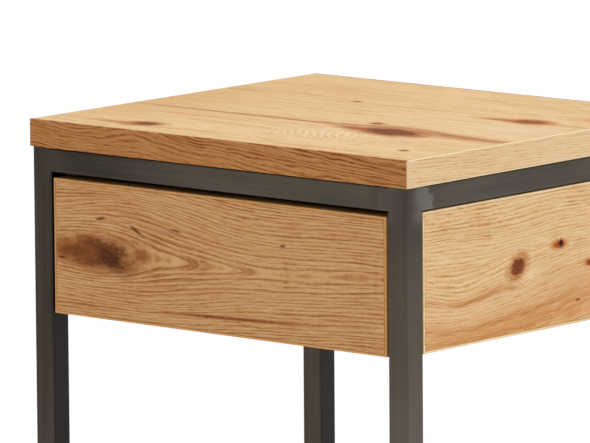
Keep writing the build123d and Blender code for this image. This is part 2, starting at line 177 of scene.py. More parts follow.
def streaks(tree, place, sizes, detail, roughness=0.5):
    """Noise whose grains have these sizes in millimetres, along x, y and z, or along u and v on a board."""
    weights = tuple(1 / size for size in (*sizes, 1.0)[:3])
    drawn_out = add(tree, VECTOR, {0: place, 1: weights}, operation="MULTIPLY")
    settings = {"Vector": drawn_out, "Scale": 1.0, "Detail": detail, "Roughness": roughness}
    return add(tree, NOISE, settings, noise_dimensions=f"{len(sizes)}D")


def along_axis(axis, length, width):
    """The sizes of a streak that runs along an axis, which is 0, 1 or 2 for x, y or z."""
    sizes = [width] * 3
    sizes[axis] = length
    return sizes


def soft_spot(tree, place, at, half_size):
    """A spot on a board: 1 at its centre, falling away over its half size. Both are (u, v) in millimetres."""
    offset = add(tree, VECTOR, {0: place, 1: (*at, 0.0)}, operation="SUBTRACT")
    scaled = add(tree, VECTOR, {0: offset, 1: (*half_size, 1.0)}, operation="DIVIDE")
    square = add(tree, VECTOR, {0: scaled, 1: scaled}, operation="DOT_PRODUCT").outputs["Value"]
    return add(tree, MATH, {0: product(tree, square, -1.0)}, operation="EXPONENT")


def product(tree, result, *factors):
    """A result multiplied by its factors, one after the other."""
    for factor in factors:
        result = add(tree, MATH, {0: result, 1: factor}, operation="MULTIPLY")
    return result


def weighted_sum(tree, start, *parts):
    """A starting value plus parts, each given as a result and its weight."""
    total = start
    for part, weight in parts:
        total = add(tree, MATH, {0: part, 1: weight, 2: total}, operation="MULTIPLY_ADD")
    return total


# ---- oak: how its grain is laid out

KNOT_GRIP = 3.0  # how sharply the grain's bend ends away from a knot
RING_DRIFT = (260.0, 22.0)  # (length, width) over which the rings' pitch drifts, in millimetres
DRIFT_RINGS = 3.0  # how many rings they drift by
RING_WAVER = (34.0, 7.0)  # the same for their small waver
WAVER_RINGS = 0.35
RING_FADE = 0.7  # the share of a ring over which it turns pale again
RING_ONSET = 0.78  # where the next one starts to darken
RING_LOT = 0.4  # the strength of the weakest ring, where 1 is the strongest
FIBRE = (30.0, 1.5)  # (length, width) of a bundle of fibres
CLOUD = (210.0, 26.0)  # (length, width) of paler and darker areas
PORE = (9.0, 0.9)  # pores are 0.3 mm wide on real oak: they are drawn 0.9 mm wide, so that they show
PORE_NOISE = (0.54, 0.74)  # the noise at which a pore starts, and is at its darkest
PLAIN_TONE = 0.15  # the tone of wood with no ring or pore in it
RING_WEIGHT = 0.74
CLOUD_WEIGHT = 0.5
FIBRE_WEIGHT = 1.1
PORE_WEIGHT = 0.34
TONE_STOPS = (0.08, 0.42, 0.85)  # the tones of a board's three shades
GLOW_EDGE = (0.8, 2.0)  # a knot's glow is full at the first reach and gone at the second
HEART_EDGE = (0.62, 1.08)  # the same for its dark heart
HEART_RINGS = 31.0  # radians of ring from a knot's middle to its rim, which makes five rings
BAND_FLECK = (22.0, 1.5)  # (length, width) of the flecks in a tinted band
FEATHER_DRIFT = (100 / 3, 100 / 3)  # over which the ripples of feather figure wander
KNOT_GRAIN = (1.0, 2.4, 1.0)  # how much finer the wobble of a knot's outline is across the grain
KNOT_WOBBLE = 1.1  # how far it wobbles, and how many wobbles there are to its half width
KNOT_FIBRE = (4.0, 1 / 0.7)  # (length, width) of the flecks in a knot's heart
GLUE_BROWN = "#7a4724"
GLUE_EDGE = (0.4, 0.9)  # the glue line is full up to the first distance from the board, gone at the second
GLUE_STRENGTH = 0.75
# The painted highlight along the top's arrises, and where it lies
ARRIS_HIGHLIGHT = "#f9e4b6"
ARRIS_HIGHLIGHT_EDGE = (-1.3, -0.6)  # the painted highlight starts and is full at these distances from the arris
ARRIS_HIGHLIGHT_STRENGTH = 0.7
SEED_SLANT = 0.37  # how far a seed shifts the noise across the grain, for each millimetre along it


class Swell(NamedTuple):
    """Where a board's growth lines are lifted, by a rise in millimetres. Places and half sizes are (u, v)."""

    at: tuple
    half_size: tuple
    rise: float


class Band(NamedTuple):
    """A tinted band that follows the growth lines: its middle and half size are (u, line)."""

    at: tuple
    half_size: tuple
    tint: str
    strength: float


class Knot(NamedTuple):
    """A knot: its colours, its lean in degrees, and how far past its rim it bends the grain."""

    at: tuple
    half_size: tuple
    heart: str
    rim: str
    lean: float = 0.0
    spread: float = 1.5
    glow: float = 0.5
    depth: float = 1.15


def grain_past_knot():
    """Bends growth lines round an elliptical knot, as water passes a stone. Reach is 1 at the knot's rim."""
    inputs = {"Place": "Vector", "Line": "Float", "Centre": "Vector", "Half size": "Vector"}
    inputs |= {"Lean": "Float", "Spread": "Float"}
    tree, given = new_group("Grain past a knot", inputs, {"Line": "Float", "Reach": "Float"})
    offset = add(tree, VECTOR, {0: given["Place"], 1: given["Centre"]}, operation="SUBTRACT")
    turned = {"Vector": offset, "Angle": product(tree, given["Lean"], -1.0)}
    turned = add(tree, "ShaderNodeVectorRotate", turned, rotation_type="Z_AXIS")
    scaled = add(tree, VECTOR, {0: turned, 1: given["Half size"]}, operation="DIVIDE")
    reach = add(tree, VECTOR, {0: scaled}, operation="LENGTH").outputs["Value"]
    far = add(tree, MATH, {0: reach, 1: given["Spread"]}, operation="DIVIDE")
    far = add(tree, MATH, {0: far, 1: KNOT_GRIP}, operation="POWER")
    far = add(tree, MATH, {0: far, 1: 1.0}, operation="ADD")
    gain = add(tree, MATH, {0: 1.0, 1: far}, operation="DIVIDE")
    pull = product(tree, add(tree, SPLIT, {0: turned}).outputs["Y"], gain)
    line = add(tree, MATH, {0: given["Line"], 1: pull}, operation="SUBTRACT")
    add(tree, "NodeGroupOutput", {"Line": line, "Reach": reach})
    return tree


def oak_figure():
    """Rings, fibres and pores of flat-sawn oak. Tone runs from 0, pale summer wood, to 1, dark pores."""
    inputs = {"Place": "Vector", "Line": "Float", "Ring": "Float", "Ring strength": "Float"}
    tree, given = new_group("Oak figure", inputs, {"Tone": "Float", "Pores": "Float"})
    along = add(tree, SPLIT, {0: given["Place"]}).outputs["X"]
    field = add(tree, JOIN, {"X": along, "Y": given["Line"]})

    # Rings of uneven width: their phase drifts slowly along and across the grain.
    phase = add(tree, MATH, {0: given["Line"], 1: given["Ring"]}, operation="DIVIDE")
    drift = streaks(tree, field, RING_DRIFT, 1.5)
    waver = streaks(tree, field, RING_WAVER, 2.0)
    phase = weighted_sum(tree, phase, (drift, DRIFT_RINGS), (waver, WAVER_RINGS))
    part = add(tree, MATH, {0: phase}, operation="FRACT")
    number = add(tree, MATH, {0: phase}, operation="FLOOR")
    fade = add(tree, RANGE, {"Value": part, "From Max": RING_FADE, **FALLING}, **SMOOTH)
    onset = add(tree, RANGE, {"Value": part, "From Min": RING_ONSET}, **SMOOTH)
    ring = add(tree, MATH, {0: fade, 1: onset}, operation="MAXIMUM")
    lot = add(tree, "ShaderNodeTexWhiteNoise", {"W": number}, noise_dimensions="1D").outputs["Value"]
    own = add(tree, RANGE, {"Value": lot, "To Min": RING_LOT})
    fibre = streaks(tree, field, FIBRE, 3.0, 0.65)
    flake = {"Value": fibre, **NOISE_SPAN, "To Min": 0.8, "To Max": 1.15}
    ring = product(tree, ring, own, add(tree, RANGE, flake), given["Ring strength"])

    # Pores crowd together in the rings.
    pores = add(tree, RANGE, {"Value": streaks(tree, field, PORE, 1.0), **span(PORE_NOISE)})
    crowd = add(tree, RANGE, {"Value": ring, "From Max": 0.5, "To Min": 0.4})
    pores = product(tree, pores, crowd)

    tone = weighted_sum(
        tree,
        PLAIN_TONE - (CLOUD_WEIGHT + FIBRE_WEIGHT) / 2,
        (ring, RING_WEIGHT),
        (streaks(tree, field, CLOUD, 2.0), CLOUD_WEIGHT),
        (fibre, FIBRE_WEIGHT),
        (pores, PORE_WEIGHT),
    )
    add(tree, "NodeGroupOutput", {"Tone": tone, "Pores": pores})
    return tree


def knot_stain():
    """Colours a knot: a dark ringed heart, and a warm glow in the wood around it."""
    inputs = {"Color": "Color", "Place": "Vector", "Reach": "Float", "Size": "Float"}
    inputs |= {"Heart": "Color", "Rim": "Color", "Glow": "Float", "Depth": "Float"}
    tree, given = new_group("Knot stain", inputs, {"Color": "Color"})

    # The knot's outline wobbles with a grain that is in proportion to it.
    grain = add(tree, VECTOR, {0: given["Place"], 1: KNOT_GRAIN}, operation="MULTIPLY")
    pitch = add(tree, MATH, {0: KNOT_WOBBLE, 1: given["Size"]}, operation="DIVIDE")
    wobble = {"Vector": grain, "Scale": pitch, "Detail": 5.0, "Roughness": 0.6}
    wobble = add(tree, NOISE, wobble, noise_dimensions="2D")
    wobble = add(tree, MATH, {0: wobble, 1: 0.5}, operation="SUBTRACT")
    reach = weighted_sum(tree, given["Reach"], (wobble, KNOT_WOBBLE))
    glow = {"Value": reach, **span(GLOW_EDGE), **FALLING}
    glow = product(tree, add(tree, RANGE, glow, interpolation_type="SMOOTHERSTEP"), given["Glow"])
    tinted = add(tree, MIX, {"Factor": glow, "A": given["Color"], "B": given["Rim"]}, data_type="RGBA")
    heart = add(tree, RANGE, {"Value": reach, **span(HEART_EDGE), **FALLING}, **SMOOTH)

    # A knot's own rings, broken up by its grain.
    rings = add(tree, MATH, {0: product(tree, reach, HEART_RINGS)}, operation="SINE")
    rings = weighted_sum(tree, 0.8, (rings, 0.17))
    fine = streaks(tree, given["Place"], KNOT_FIBRE, 3.0)
    fine = add(tree, RANGE, {"Value": fine, **NOISE_SPAN, "To Min": 0.65, "To Max": 1.12})
    heart = product(tree, heart, rings, fine)
    heart = add(tree, MATH, {0: heart, 1: given["Depth"]}, operation="MULTIPLY", use_clamp=True)
    stained = add(tree, MIX, {"Factor": heart, "A": tinted, "B": given["Heart"]}, data_type="RGBA")
    add(tree, "NodeGroupOutput", {"Color": stained})
    return tree


GRAIN_PAST_KNOT = grain_past_knot()
OAK_FIGURE = oak_figure()
KNOT_STAIN = knot_stain()


def stained_band(tree, shade, field, band):
    """Tints a band of growth lines, flecked along the grain."""
    fleck = streaks(tree, field, BAND_FLECK, 2.0)
    fleck = add(tree, RANGE, {"Value": fleck, **NOISE_SPAN, "To Min": 0.5, "To Max": 1.4})
    factor = product(tree, soft_spot(tree, field, band.at, band.half_size), fleck)
    factor = add(tree, MATH, {0: factor, 1: band.strength}, operation="MULTIPLY", use_clamp=True)
    return add(tree, MIX, {"Factor": factor, "A": shade, "B": colour(band.tint)}, data_type="RGBA")


def feathered(tree, shade, here, at, half_size, lean, pitch, tint):
    """Feather figure beside a knot: pale ripples that lean across the grain, a few millimetres apart."""
    turn = math.radians(lean)
    step = (math.sin(turn) / pitch, -math.cos(turn) / pitch, 0.0)
    count = add(tree, VECTOR, {0: here, 1: step}, operation="DOT_PRODUCT").outputs["Value"]
    count = weighted_sum(tree, count, (streaks(tree, here, FEATHER_DRIFT, 1.0), 2.2))
    wave = add(tree, MATH, {0: product(tree, count, 2 * math.pi)}, operation="SINE")
    wave = add(tree, RANGE, {"Value": wave, "From Min": -0.2, "From Max": 1.0}, **SMOOTH)
    spot = soft_spot(tree, here, at, half_size)
    factor = add(tree, MATH, {0: wave, 1: spot}, operation="MULTIPLY", use_clamp=True)
    return add(tree, MIX, {"Factor": factor, "A": shade, "B": colour(tint)}, data_type="RGBA")


def beyond_box(tree, low, high):
    """How far each surface point lies outside a box along x, y and z, in millimetres, less than 0 inside."""
    offset = add(tree, VECTOR, {0: place_in_mm(tree, tuple((low + high) / 2))}, operation="ABSOLUTE")
    half = tuple((high - low) / 2 / MM)
    return add(tree, SPLIT, {0: add(tree, VECTOR, {0: offset, 1: half}, operation="SUBTRACT")}).outputs


def glue_line(tree, shade, core):
    """The brown glue line of edging round its board. It is 0.2 mm wide on real edging, and drawn 0.6 mm."""
    parts = beyond_box(tree, *corners(core))
    beyond = add(tree, MATH, {0: parts["X"], 1: parts["Y"]}, operation="MAXIMUM")
    beyond = add(tree, MATH, {0: beyond, 1: parts["Z"]}, operation="MAXIMUM")
    near = {"Value": beyond, **span(GLUE_EDGE), "To Min": GLUE_STRENGTH, "To Max": 0.0}
    near = add(tree, RANGE, near)
    return add(tree, MIX, {"Factor": near, "A": shade, "B": colour(GLUE_BROWN)}, data_type="RGBA")


def painted_arris_highlight(tree, shade, low, high):
    """A painted highlight along a box's arrises, where the round edge catches light. It is drawn 1 mm wide.
    """
    parts = beyond_box(tree, low, high)
    larger = add(tree, MATH, {0: parts["X"], 1: parts["Z"]}, operation="MAXIMUM")
    smaller = add(tree, MATH, {0: parts["X"], 1: parts["Z"]}, operation="MINIMUM")
    second = add(tree, MATH, {0: larger, 1: parts["Y"]}, operation="MINIMUM")
    second = add(tree, MATH, {0: second, 1: smaller}, operation="MAXIMUM")
    near = add(tree, RANGE, {"Value": second, **span(ARRIS_HIGHLIGHT_EDGE), "To Max": ARRIS_HIGHLIGHT_STRENGTH})
    return add(tree, MIX, {"Factor": near, "A": shade, "B": colour(ARRIS_HIGHLIGHT)}, data_type="RGBA")


def oak_place(tree, along, across):
    """The place on a board as (u, v, 0) in millimetres. Along and across are weights of x, y and z."""
    point = place_in_mm(tree, ORIGIN)
    u = add(tree, VECTOR, {0: point, 1: along}, operation="DOT_PRODUCT").outputs["Value"]
    v = add(tree, VECTOR, {0: point, 1: across}, operation="DOT_PRODUCT").outputs["Value"]
    return add(tree, JOIN, {"X": u, "Y": v})


def folded(tree, line, along, middle, softness, closing, start, end):
    """Mirrors growth lines about a height, as they turn where the saw passed the middle of the log.

    softness is how softly they turn, and closing how many millimetres of them close up between start and end.
    """
    height = add(tree, MATH, {0: line, 1: middle}, operation="SUBTRACT")
    square = add(tree, MATH, {0: height, 1: height, 2: softness**2}, operation="MULTIPLY_ADD")
    height = add(tree, MATH, {0: square}, operation="SQRT")
    closed = add(tree, RANGE, {"Value": along, **span((start, end)), "To Max": closing}, **SMOOTH)
    return add(tree, MATH, {0: height, 1: closed}, operation="ADD")


def oak(
    name,
    place,
    shades,
    ring,
    ring_strength,
    meander,
    fold=None,
    knots=(),
    swells=(),
    bands=(),
    ripples=None,
    core=None,
    lit_ends=None,
    arris_highlight=None,
    seed=0.0,
):
    """Knotty oak veneer under matte lacquer: warm, satin, with open pores that catch light along the grain.

    place makes the (u, v) coordinates in the material's tree, and shades are three hex colours, pale to dark.
    ring is the rings' pitch. meander is how far the grain wanders, and over what length. fold is what
    folded() takes. core is the board that an edging strip is glued to. lit_ends is where along a strip its
    ends start, and the sides' paler colour that they take, which is painted light. arris_highlight is the
    low and high corner of a box whose arrises get a painted highlight. seed shifts the noise by that many
    millimetres, so that no two boards share it.
    """
    material, tree, surface = new_material(name)
    here = place(tree)
    along, across = add(tree, SPLIT, {0: here}).outputs[:2]
    shifted = add(tree, VECTOR, {0: here, 1: (seed, seed * SEED_SLANT, 0.0)}, operation="ADD")
    wander, wander_length = meander
    slow = streaks(tree, shifted, (wander_length, wander_length / 3), 2.5)
    slow = add(tree, MATH, {0: slow, 1: 0.5}, operation="SUBTRACT")
    line = weighted_sum(tree, across, (slow, 2 * wander))
    for swell in swells:
        line = weighted_sum(tree, line, (soft_spot(tree, here, swell.at, swell.half_size), -swell.rise))
    reaches = []
    for knot in knots:
        knot_inputs = {
            "Place": here,
            "Line": line,
            "Centre": (*knot.at, 0.0),
            "Half size": (*knot.half_size, 1.0),
            "Lean": math.radians(knot.lean),
            "Spread": knot.spread,
        }
        past = add(tree, GROUP, knot_inputs, node_tree=GRAIN_PAST_KNOT)
        line = past.outputs["Line"]
        reaches.append(past.outputs["Reach"])
    if fold:
        line = folded(tree, line, along, *fold)
    seeded = add(tree, MATH, {0: line, 1: seed}, operation="ADD")
    figure_inputs = {"Place": shifted, "Line": seeded, "Ring": ring, "Ring strength": ring_strength}
    figure = add(tree, GROUP, figure_inputs, node_tree=OAK_FIGURE)
    ramp = add(tree, RAMP, {"Fac": figure.outputs["Tone"]})
    set_stops(ramp, *zip(TONE_STOPS, shades))
    shade = ramp.outputs["Color"]
    field = add(tree, JOIN, {"X": along, "Y": line})
    for band in bands:
        shade = stained_band(tree, shade, field, band)
    if ripples:
        shade = feathered(tree, shade, here, **ripples)
    for knot, reach in zip(knots, reaches):
        stain_inputs = {
            "Color": shade,
            "Place": here,
            "Reach": reach,
            "Size": knot.half_size[1],
            "Heart": colour(knot.heart),
            "Rim": colour(knot.rim),
            "Glow": knot.glow,
            "Depth": knot.depth,
        }
        shade = add(tree, GROUP, stain_inputs, node_tree=KNOT_STAIN).outputs["Color"]
    if core:
        shade = glue_line(tree, shade, core)
    # Painted light: the strip's ends, which face sideways, take the sides' paler colour.
    if lit_ends:
        start, tint = lit_ends
        outward = add(tree, MATH, {0: along}, operation="ABSOLUTE")
        lit_end = {"Value": outward, "From Min": start - 0.1, "From Max": start + 0.1, "To Max": 0.9}
        lit_end = {"Factor": add(tree, RANGE, lit_end), "A": shade, "B": colour(tint)}
        shade = add(tree, MIX, lit_end, data_type="RGBA")
    if arris_highlight:
        shade = painted_arris_highlight(tree, shade, *arris_highlight)
    pores = figure.outputs["Pores"]
    gloss = add(tree, RANGE, {"Value": pores, "To Min": 0.46, "To Max": 0.62})
    relief = add(tree, BUMP, {"Strength": 0.35, "Distance": 0.15 * MM, "Height": pores}, invert=True)
    fill(tree, surface, {"Base Color": shade, "Roughness": gloss, "Normal": relief})
    fill(tree, surface, {"IOR": 1.5, "Specular IOR Level": 0.06})
    return material


# ---- places

RAIL_LOW, RAIL_HIGH = corners("rail_front")
LEG_LOW, LEG_HIGH = corners("leg_front_right")
TOP_Z = corners("top_board")[1].z
ORIGIN = (0.0, 0.0, TOP_Z)  # boards' patterns are laid out from the middle of the table top
SIDES = ("left", "right")
ENDS = ("front", "back")


def across_front(tree):
    """u to the right and v up: the drawer front, the back panel and the long edging strips."""
    return oak_place(tree, (1, 0, 0), (0, 0, 1))


def across_side(tree):
    """u to the back and v up: the side panels."""
    return oak_place(tree, (0, 1, 0), (0, 0, 1))


def on_top(tree):
    """u to the right and v to the back: the table top and the floor under the drawer."""
    return oak_place(tree, (1, 0, 0), (0, 1, 0))


# ---- boards

# Partly painted shade and light: the oak turned to the front gets darker, redder shades than the oak on the
# top and the sides, which face the light; the rest is the oak's own colour.
PANEL_SHADES = ("#dfbd8f", "#d3a972", "#b1753f")
FRONT_EDGING = ("#dba465", "#d29858", "#a8703a")
SIDE_EDGING = ("#edd2a4", "#e4c08c", "#c08a52")
SIDE_OAK = "#e0c094"  # the palest of the wood on the sides of the top
LIT_END_DEPTH = 0.5  # how far in from each end of the front edging the sides' paler colour reaches, as painted light on its sideways ends


def dress_boards():
    """The top, the drawer front, the panels and the floor: each has its own veneer, with its own knots."""
    top = oak(
        "Knotty oak veneer, top",
        on_top,
        ("#f2cf9c", "#e8bf88", "#c4894c"),
        ring=7.0, ring_strength=0.6, meander=(7.0, 420.0),
        swells=(Swell((88, -45), (60, 34), 9),),
        bands=(
            Band((-245, -20), (100, 160), "#dba869", 0.65),
            Band((185, 10), (70, 34), "#f0d6ab", 0.7),
            Band((-10, -65), (270, 4.5), "#b06a30", 0.9),
            Band((192, -70), (72, 10.0), "#b46c36", 0.85),
            Band((-140, -100), (60, 5.0), "#cf8c50", 0.6),
            Band((-70, -126), (80, 4.0), "#cf8f55", 0.55),
            Band((-150, 150), (80, 40), "#dba868", 0.4),
            Band((-230, 78), (45, 3.5), "#c98a50", 0.6),
            Band((20, 76), (90, 3.0), "#c98a50", 0.55),
            Band((230, 64), (50, 4.0), "#c98a50", 0.5),
            Band((92, 30), (35, 2.4), "#b58248", 0.5),
            Band((215, 112), (26, 12), "#cf8a45", 0.6),
            Band((-90, -186), (110, 3.0), "#cc9155", 0.5),
        ),
        ripples={"at": (62, -128), "half_size": (62, 26), "lean": -58, "pitch": 8.0, "tint": "#f3dab0"},
        knots=(
            Knot((62, -76), (28, 8), "#a2491a", "#b5713a", lean=-3, spread=0.8, depth=1.0),
            Knot((107, -76), (36, 19), "#7e4010", "#b25e26", lean=-8, spread=1.4, glow=0.85, depth=1.5),
            Knot((145, 62), (34, 7), "#a8571c", "#c78644", lean=3, spread=0.8, depth=0.8),
            Knot((172, 66), (20, 13), "#944f10", "#c06a24", glow=0.8, depth=1.25),
            Knot((-133, -181), (19, 12), "#80400e", "#b8642a", lean=15, glow=0.7, depth=1.5),
            Knot((-166, -187), (24, 5), "#b5743c", "#c98a50", depth=0.7),
            Knot((55, -37), (8, 6), "#8a3f14", "#b5713a", depth=1.3),
            Knot((-68, 78), (6, 4), "#9c4d18", "#c98a50", depth=1.2),
            Knot((201, -171), (5, 6), "#84481a", "#c98a50", lean=60),
        ),
    )
    dress(top, "top_board")

    front = oak(
        "Knotty oak veneer, drawer front",
        across_front,
        # Darker and redder than the top's shades: partly the veneer's own colour, partly painted shade on a
        # face turned to the front.
        ("#dcac75", "#c8915a", "#a2683f"),
        ring=3.9, ring_strength=0.8, meander=(4.0, 300.0),
        fold=(-131.0, 6.0, 13.0, -120.0, 90.0),
        seed=40.0,
        swells=(
            Swell((225, -120), (110, 90), 9),
            Swell((-125, -80), (85, 30), 11),
        ),
        knots=(
            Knot((-162, -131), (46, 15), "#68381c", "#95521f", spread=1.6, glow=0.6, depth=1.25),
            Knot((-147, -134), (25, 8.5), "#4c2614", "#7a421c", lean=-22, spread=0.5, depth=1.0),
            Knot((-192, -131), (24, 6), "#7c4420", "#a0602c", lean=2, spread=0.6),
            Knot((-157, -95), (6, 1.4), "#6c3517", "#9a5a2c", lean=12),
            Knot((-108, -103), (9, 1.6), "#5c2b12", "#9a5a2c", lean=-28),
            Knot((-55, -98), (7, 1.2), "#7c451f", "#a5683a", lean=-6),
            Knot((87, -100), (3, 1.5), "#6c3517", "#9a5a2c"),
            Knot((-210, -139), (5, 1.4), "#5c2b12", "#9a5a2c"),
            Knot((15, -180), (78, 1.6), "#8c3f1c", "#a5602f", lean=1.8),
        ),
    )
    dress(front, "drawer_front")

    side = oak(
        "Knotty oak veneer, right panel",
        across_side,
        PANEL_SHADES,
        ring=3.5, ring_strength=0.55, meander=(3.0, 260.0),
        seed=90.0,
        swells=(
            Swell((-135, -150), (62, 34), -15),
            Swell((75, -165), (70, 40), 14),
            Swell((-58, -95), (50, 34), -7),
        ),
        bands=(
            Band((-60, -190), (260, 34), "#c68546", 0.7),
            Band((-110, -139), (90, 3.2), "#b97a43", 0.85),
            Band((-60, -173), (150, 4.0), "#b97a43", 0.8),
            Band((-80, -187), (170, 2.6), "#bb7e47", 0.8),
            Band((20, -181), (100, 2.0), "#c07c40", 0.7),
        ),
        ripples={"at": (-30, -138), "half_size": (18, 9), "lean": 28, "pitch": 3.4, "tint": "#efd5a8"},
        knots=(
            Knot((-49, -127), (13, 9), "#6b3018", "#b26a30", lean=30, spread=1.6, glow=0.8, depth=1.35),
            Knot((17, -112), (10, 4), "#8a3c18", "#c1702c", glow=0.8),
            Knot((20, -111), (3.5, 3.5), "#3c160a", "#7a3a1c", spread=0.5, depth=1.6),
            Knot((68, -136), (9, 3.4), "#7a3114", "#c1702c", glow=0.7, depth=1.4),
            Knot((47, -172), (4, 1.4), "#6c381c", "#c1702c"),
        ),
    )
    dress(side, "side_panel_right")

    left = oak(
        "Knotty oak veneer, left panel",
        across_side,
        PANEL_SHADES,
        ring=4.0, ring_strength=0.6, meander=(4.0, 280.0),
        seed=170.0,
        swells=(Swell((-60, -150), (80, 40), 12),),
        bands=(Band((40, -78), (150, 3.0), "#c07c40", 0.8),),
        knots=(
            Knot((92, -118), (15, 9), "#6b3018", "#b26a30", lean=-12, spread=1.6, glow=0.8, depth=1.35),
            Knot((-128, -94), (6, 4), "#7a3a1c", "#b5713a", depth=1.3),
        ),
    )
    dress(left, "side_panel_left")

    back = oak(
        "Knotty oak veneer, back panel",
        across_front,
        ("#dfae76", "#cd965d", "#a0663a"),
        ring=5.0, ring_strength=0.7, meander=(5.0, 320.0),
        seed=210.0,
        swells=(Swell((40, -150), (110, 36), 14),),
        knots=(
            Knot((-70, -96), (26, 11), "#68381c", "#95521f", lean=6, spread=1.6, glow=0.6, depth=1.25),
            Knot((152, -162), (8, 4), "#6c3517", "#9a5a2c", depth=1.3),
        ),
    )
    dress(back, "back_panel")

    floor = oak(
        "Oak veneer, floor under the drawer",
        on_top,
        ("#e6c08c", "#dab07a", "#b98350"),
        ring=7.0, ring_strength=0.5, meander=(7.0, 380.0),
        seed=260.0,
        knots=(Knot((-90, 60), (14, 8), "#7c4420", "#b5713a", depth=1.3),),
    )
    dress(floor, "dust_floor")


def dress_edging():
    """Solid oak edging: end strips run upright, the others along the board."""
    front_edge = oak(
        "Oak edging, front of the top",
        lambda tree: oak_place(tree, (1, 0, 0), (0.07, 0, 1)),
        # Darker and redder than the sides' edging: partly the oak's own colour, partly painted shade on a
        # face turned to the front.
        ("#c68d56", "#b67640", "#84461d"),
        ring=4.2, ring_strength=0.8, meander=(8.0, 105.0),
        swells=(
            Swell((-110, -4), (55, 30), 9),
            Swell((-200, -14), (40, 30), -6),
        ),
        # Painted light: the strip's ends take the paler colour of the sides of the top.
        lit_ends=(corners("top_edging_front")[1].x / MM - LIT_END_DEPTH, SIDE_OAK),
        seed=13.0,
    )
    dress(front_edge, "top_edging_front", "top_edging_back")
    side_edge = oak(
        "Oak edging, sides of the top",
        lambda tree: oak_place(tree, (0, 1, 0), (0, 0.04, 1)),
        (SIDE_OAK, "#d9b486", "#c79a66"),
        ring=3.0, ring_strength=0.7, meander=(1.5, 200.0),
        # A painted highlight along the top's outer arrises.
        arris_highlight=(Vector((*CAD_BOX[0][:2], RAIL_HIGH.z)), Vector(CAD_BOX[1])),
        seed=57.0,
    )
    dress(side_edge, "top_edging_right", "top_edging_left")
    for edging, core, place, shades in (
        ("drawer_front_edging", "drawer_front", across_front, FRONT_EDGING),
        ("back_panel_edging", "back_panel", across_front, FRONT_EDGING),
        ("side_panel_edging_right", "side_panel_right", across_side, SIDE_EDGING),
        ("side_panel_edging_left", "side_panel_left", across_side, SIDE_EDGING),
        ("dust_floor_edging", "dust_floor", across_front, FRONT_EDGING),
    ):
        strip = oak(
            "Oak edging, " + core.replace("_", " "),
            place,
            shades,
            ring=3.0, ring_strength=0.4, meander=(1.0, 200.0),
            core=core,
            seed=31.0,
        )
        dress(strip, edging)


# ---- steel frame

STEEL_DARK = "#332c24"
STEEL_PALE = "#685f52"
STEEL_GROUND = "#7f7870"
# painted shade on the legs' inward faces, which lie in the shade under the table
PAINTED_INNER_SHADE = "#262325"
CLOUD_WIDTH = 60.0  # of the broad lighter and darker areas, in millimetres
CLOUD_SHARE = 0.6
ROLLED_WIDTH = 3.2  # of the rolling streaks
ROLLED_SHARE = 0.3
SCRATCH_WIDTH = 0.5  # mill scratches are 0.1 mm wide on real tube: they are drawn 0.5 mm wide
SCRATCH_SHARE = 0.12
TONE_SHIFT = -0.18  # centres the tones on the two steel colours
PAINTED_LIGHT_RISE = 0.0003  # painted light: how much the tone rises for each millimetre to the right, towards the side light
LOW_LEG_LIGHT_RISE = 0.0019  # painted light: how much it rises for each millimetre down the right legs
LOW_LEG_LIGHT_LEFT = 0.35  # what share of that painted light the left legs get
LOW_LEG_LIGHT_LENGTH = 240.0  # how far down a leg that goes on
JOINT_TONE = 0.39  # the tone at a joint in the middle of the frame
JOINT_LIGHT_RISE = 0.00038  # painted light: how much that rises for each millimetre to the right
EVENED_ACROSS = (3.0, 34.0)  # leg and rail share a tone up to the first distance, and not past the second
EVENED_DOWN = (14.0, 44.0)  # the same, counted from the rail's middle
RAGGED_GRAIN = (100 / 7,) * 3  # the grain of a ground patch's ragged edge
RAGGED_DEPTH = 26.0  # how far that edge wanders
PATCH_RISE = (-24.0, 8.0)  # where a ground patch fades in, in millimetres along the rail from the joint
PATCH_FALL = (11.0, 15.0)  # where it ends
PATCH_DOWN = (14.0, 30.0)  # where it fades out down the leg, counted from the rail's middle
PATCH_SLANT = 0.32  # how much further it reaches for each millimetre down
PATCH_STRENGTH = 0.62  # how much of the paler metal shows on the right side rail
LEFT_PATCH = 0.12  # how much shows on the left one, which was polished finer
POLISHED = (-60.0, 60.0)  # from where to where across the frame that changes
SIDE_FACE = (-24.0, -20.0)  # a side face lies outside the first distance, and a front face inside the second
FRONT_PATCH = 0.22  # what share of a patch shows on the front and back rails
SHADED_INNER_FACE = (-0.9, -0.2)  # where a leg's face that is turned inwards, and takes the painted shade, starts: between these distances
